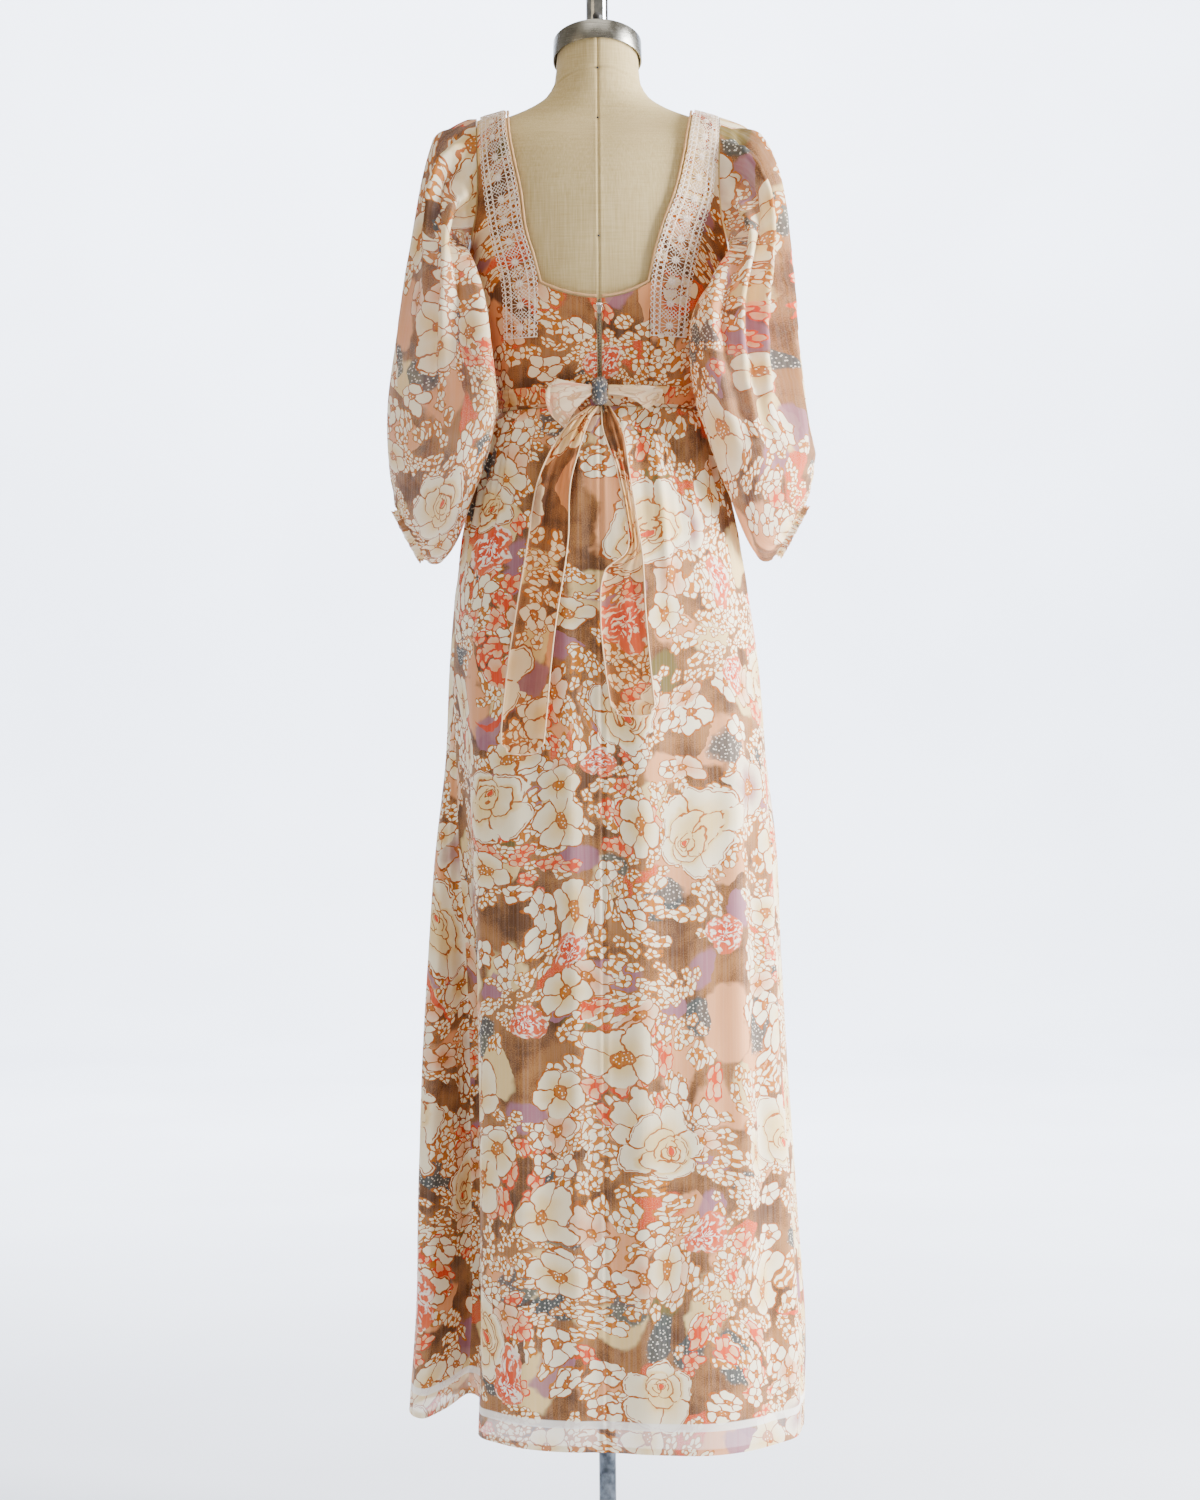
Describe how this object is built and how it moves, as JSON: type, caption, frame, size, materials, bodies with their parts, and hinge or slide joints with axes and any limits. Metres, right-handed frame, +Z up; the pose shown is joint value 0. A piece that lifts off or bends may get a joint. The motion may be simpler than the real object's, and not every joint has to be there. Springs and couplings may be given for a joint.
{
  "type": "maxi dress on a limbless dress form with stand",
  "caption": "Long gathered maxi dress with bishop sleeves, lace straps and a back bow, on a limbless linen dress form that stands on a pole and a round base.",
  "frame": {"origin": "middle of the round base's underside, on the floor under the pole", "axes": "+Z up along the pole; -Y is the back of the dress and of the form; -X is the wearer's left and +X the wearer's right"},
  "size_m": [0.464, 0.3486, 1.7598],
  "materials": {
    "chrome": "polished",
    "brushed_steel": "satin",
    "dark_steel": "satin",
    "linen": "matte",
    "printed_chiffon": "matte",
    "off_white_lining": "matte",
    "crochet_lace": "matte",
    "rolled_binding": "matte",
    "zip_tape": "matte",
    "zip_metal": "satin"
  },
  "bodies": {
    "stand": {"base_plate": "dark_steel", "base_hub": "chrome", "pole": "chrome"},
    "collar": {"clamp_collar": "chrome", "collar_knob": "dark_steel"},
    "form": {"torso": "linen", "neck_cap": "brushed_steel", "neck_tube": "chrome", "tube_knob": "chrome", "lock_screw": "dark_steel", "form_flange": "brushed_steel", "bodice_back_left": "printed_chiffon", "bodice_back_right": "printed_chiffon", "bodice_front": "printed_chiffon", "lace_left": "crochet_lace", "lace_right": "crochet_lace", "binding_left": "rolled_binding", "binding_right": "rolled_binding", "sleeve_left": "printed_chiffon", "sleeve_right": "printed_chiffon", "cuff_left": "printed_chiffon", "cuff_right": "printed_chiffon", "skirt": "printed_chiffon", "skirt_lining": "off_white_lining", "sash_left": "printed_chiffon", "sash_right": "printed_chiffon", "bow_knot": "printed_chiffon", "bow_loop_left": "printed_chiffon", "bow_loop_right": "printed_chiffon", "bow_tail_left": "printed_chiffon", "bow_tail_right": "printed_chiffon", "zip_tape_left": "zip_tape", "zip_tape_right": "zip_tape", "zip_chain": "zip_metal", "zip_slider": "zip_metal"},
    "pull": {"zip_pull": "zip_metal"}
  },
  "joints": [
    {"name": "height_slide", "type": "slide", "parent": "stand", "child": "collar", "axis": [0, 0, 1], "range_m": [-0.08, 0.1]},
    {"name": "form_swivel", "type": "hinge", "parent": "collar", "child": "form", "pos_m": [0, 0, 0.944], "axis": [0, 0, 1], "continuous": true},
    {"name": "pull_tab", "type": "hinge", "parent": "form", "child": "pull", "pos_m": [0, -0.09776, 1.3671], "axis": [-1, 0, 0], "range_deg": [0, 150]}
  ]
}
